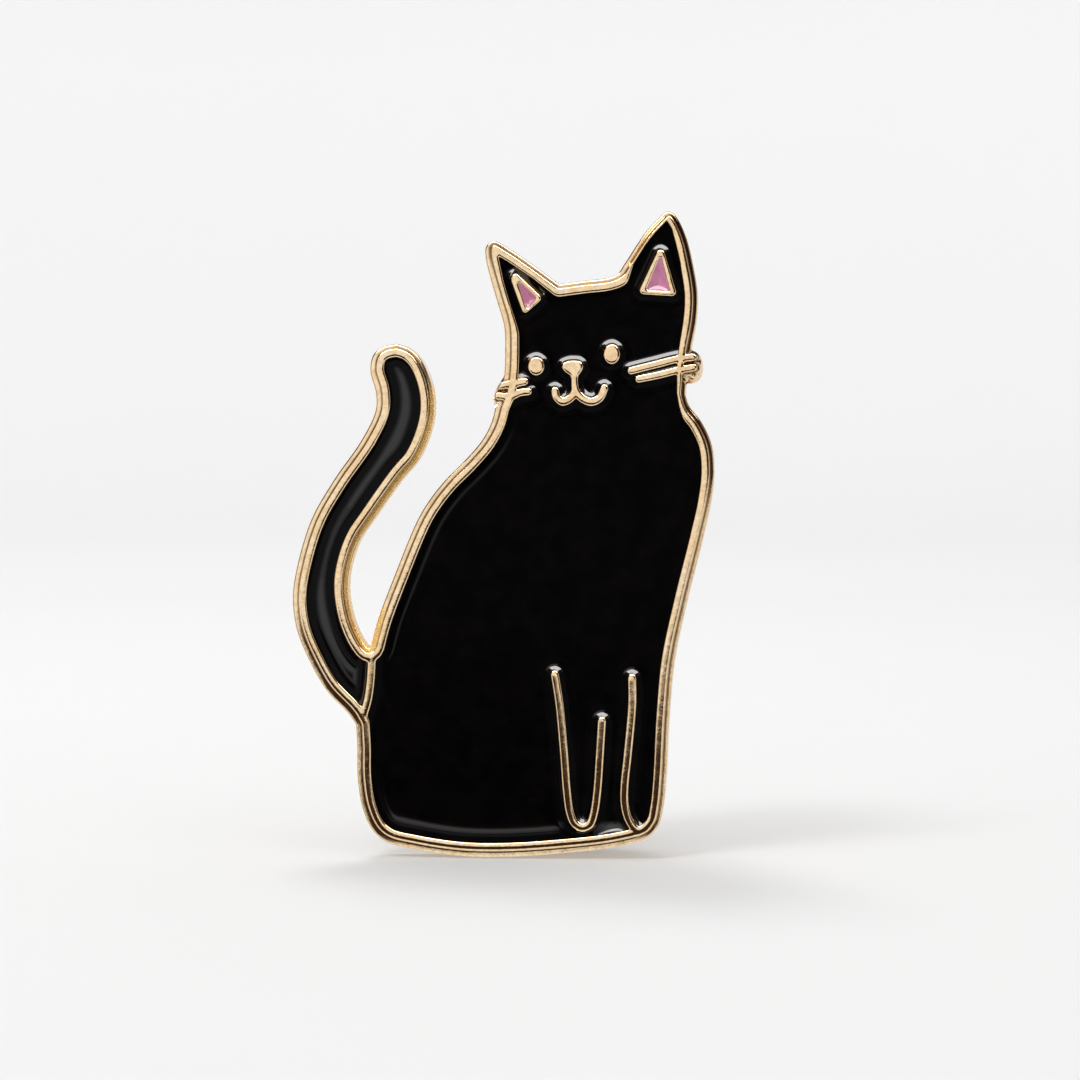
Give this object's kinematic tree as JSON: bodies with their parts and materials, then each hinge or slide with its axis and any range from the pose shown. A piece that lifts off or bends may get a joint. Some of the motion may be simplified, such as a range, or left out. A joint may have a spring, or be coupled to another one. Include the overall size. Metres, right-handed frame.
{
  "type": "enamel pin",
  "caption": "Sitting-cat lapel pin: gold-plated struck metal plate with raised lines and recessed enamel, held by back posts and butterfly clutches.",
  "frame": {"origin": "a point of the flat back face of the plate, near its middle", "axes": "+Z is the cat's up, +Y points out of the flat back along the posts, and the enamelled face looks along -Y"},
  "size_m": [0.0211, 0.0103, 0.0322],
  "materials": {
    "gold_plate": "polished pale gold plating",
    "black_enamel": "glossy near-black soft enamel",
    "pink_enamel": "glossy pink soft enamel",
    "gold_post": "turned and gold plated",
    "solder": "dull silver solder under thin plating",
    "clutch_gold": "stamped and gold plated, softly polished"
  },
  "bodies": {
    "root": {"base_plate": "gold_plate", "enamel_body": "black_enamel", "enamel_tail": "black_enamel", "enamel_ear_left": "pink_enamel", "enamel_ear_right": "pink_enamel", "upper_post": "gold_post", "lower_post": "gold_post", "upper_solder": "solder", "lower_solder": "solder"},
    "upper_clutch": {"upper_clutch_cap": "clutch_gold", "upper_clutch_spring": "clutch_gold"},
    "upper_wing_high": {"upper_clutch_wing_high": "clutch_gold"},
    "upper_wing_low": {"upper_clutch_wing_low": "clutch_gold"},
    "lower_clutch": {"lower_clutch_cap": "clutch_gold", "lower_clutch_spring": "clutch_gold"},
    "lower_wing_high": {"lower_clutch_wing_high": "clutch_gold"},
    "lower_wing_low": {"lower_clutch_wing_low": "clutch_gold"}
  },
  "joints": [
    {"name": "upper_clutch_slide", "type": "slide", "parent": "root", "child": "upper_clutch", "axis": [0, 1, 0], "range_m": [-0.003, 0.012]},
    {"name": "upper_wing_high_pinch", "type": "hinge", "parent": "upper_clutch", "child": "upper_wing_high", "pos_m": [0.0043, 0.0041, 0.007], "axis": [-1, 0, 0], "range_deg": [0, 7], "stiffness_Nm_per_rad": 0.01},
    {"name": "upper_wing_low_pinch", "type": "hinge", "parent": "upper_clutch", "child": "upper_wing_low", "pos_m": [0.0043, 0.0041, -0.0002], "axis": [1, 0, 0], "range_deg": [0, 7], "stiffness_Nm_per_rad": 0.01},
    {"name": "lower_clutch_slide", "type": "slide", "parent": "root", "child": "lower_clutch", "axis": [0, 1, 0], "range_m": [-0.003, 0.012]},
    {"name": "lower_wing_high_pinch", "type": "hinge", "parent": "lower_clutch", "child": "lower_wing_high", "pos_m": [0.001, 0.0041, -0.006], "axis": [-1, 0, 0], "range_deg": [0, 7], "stiffness_Nm_per_rad": 0.01},
    {"name": "lower_wing_low_pinch", "type": "hinge", "parent": "lower_clutch", "child": "lower_wing_low", "pos_m": [0.001, 0.0041, -0.0132], "axis": [1, 0, 0], "range_deg": [0, 7], "stiffness_Nm_per_rad": 0.01}
  ],
  "couplings": [
    {"joint": "upper_wing_low_pinch", "follows": "upper_wing_high_pinch", "ratio": 1},
    {"joint": "lower_wing_low_pinch", "follows": "lower_wing_high_pinch", "ratio": 1}
  ]
}
